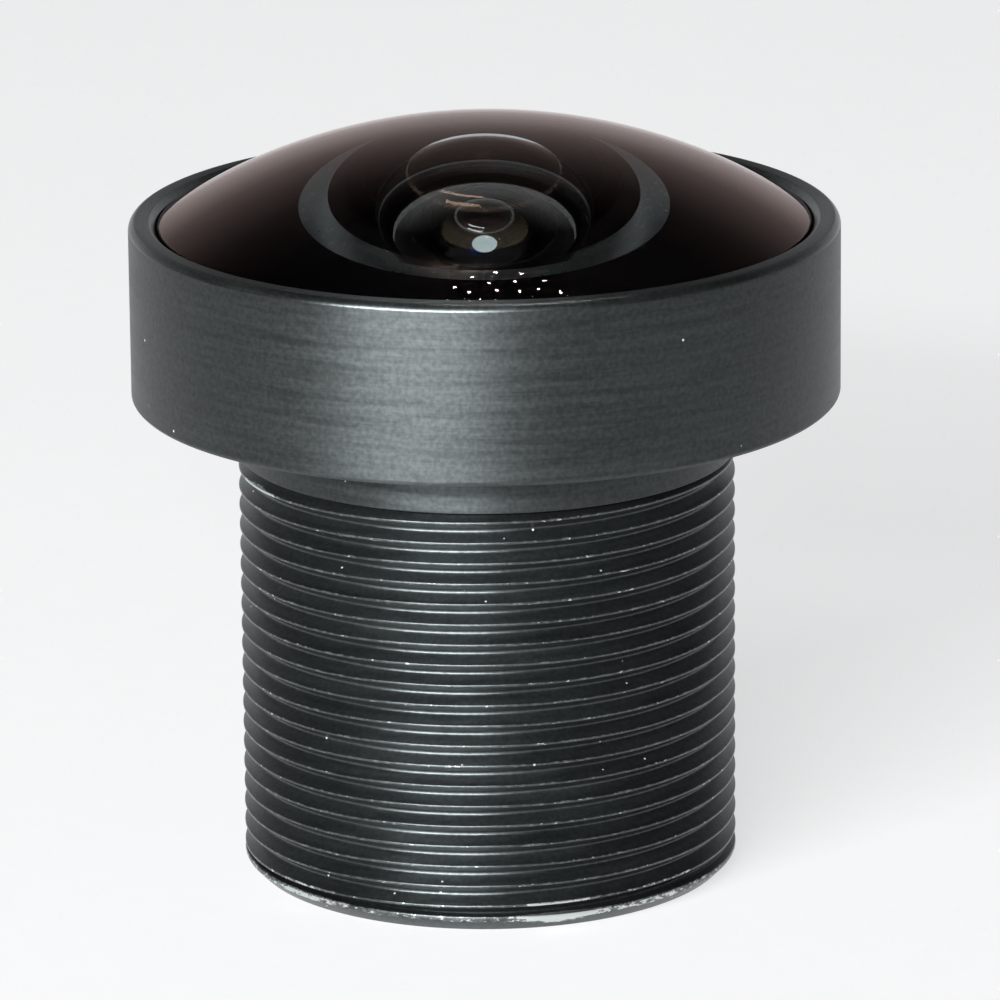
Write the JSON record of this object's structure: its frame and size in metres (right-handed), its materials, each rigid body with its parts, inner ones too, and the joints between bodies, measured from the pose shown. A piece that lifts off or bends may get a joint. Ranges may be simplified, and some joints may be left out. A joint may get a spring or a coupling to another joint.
{
  "type": "fisheye lens",
  "caption": "Fixed-focus fisheye lens for a board camera: domed front glass in a screwed ring, a stack of elements in a barrel with a fine mounting thread, and a filter at the rear.",
  "frame": {"origin": "centre of the lens's rear end, on the optical axis", "axes": "+Z along the optical axis toward the domed front element; X and Y lie in the plane of the rear end, with the camera of the picture on the -Y side"},
  "size_m": [0.0172, 0.0172, 0.0184],
  "materials": {
    "black_anodised": "turned aluminium, satin black anodised, worn at the thread's crests",
    "clear_glass": "polished optical glass with a coating that reflects brown to purple",
    "filter_glass": "infrared-cut filter glass, pale cyan",
    "black_film": "thin matte black film",
    "stop_sheet": "thin steel sheet, blackened",
    "black_rubber": "black sealing rubber"
  },
  "bodies": {
    "lens_barrel": {"barrel": "black_anodised", "seal_ring": "black_rubber", "front_spacer": "black_anodised", "second_element": "clear_glass", "front_film": "black_film", "second_spacer": "black_anodised", "third_element": "clear_glass", "third_spacer": "black_anodised", "aperture_stop": "stop_sheet", "stop_spacer": "black_anodised", "fourth_element": "clear_glass", "rear_film": "black_film", "fourth_spacer": "black_anodised", "doublet_front": "clear_glass", "doublet_rear": "clear_glass", "rear_spacer": "black_anodised"},
    "front_cell": {"front_element": "clear_glass", "lip_washer": "black_film"},
    "front_ring": {"front_ring": "black_anodised"},
    "filter_cell": {"ir_filter": "filter_glass", "filter_washer": "black_film"},
    "rear_ring": {"rear_ring": "black_anodised"}
  },
  "joints": [
    {"name": "front_cell_lift", "type": "slide", "parent": "lens_barrel", "child": "front_cell", "axis": [0, 0, 1], "range_m": [0, 0.002]},
    {"name": "front_ring_turn", "type": "hinge", "parent": "front_cell", "child": "front_ring", "pos_m": [0, 0, 0.0139], "axis": [0, 0, 1], "range_deg": [0, 1440]},
    {"name": "filter_cell_drop", "type": "slide", "parent": "lens_barrel", "child": "filter_cell", "axis": [0, 0, -1], "range_m": [0, 0.0015]},
    {"name": "rear_ring_turn", "type": "hinge", "parent": "filter_cell", "child": "rear_ring", "pos_m": [0, 0, 0.002], "axis": [0, 0, -1], "range_deg": [0, 1080]}
  ],
  "couplings": [
    {"joint": "front_ring_turn", "follows": "front_cell_lift", "rad_per_m": 12566},
    {"joint": "rear_ring_turn", "follows": "filter_cell_drop", "rad_per_m": 12566}
  ]
}
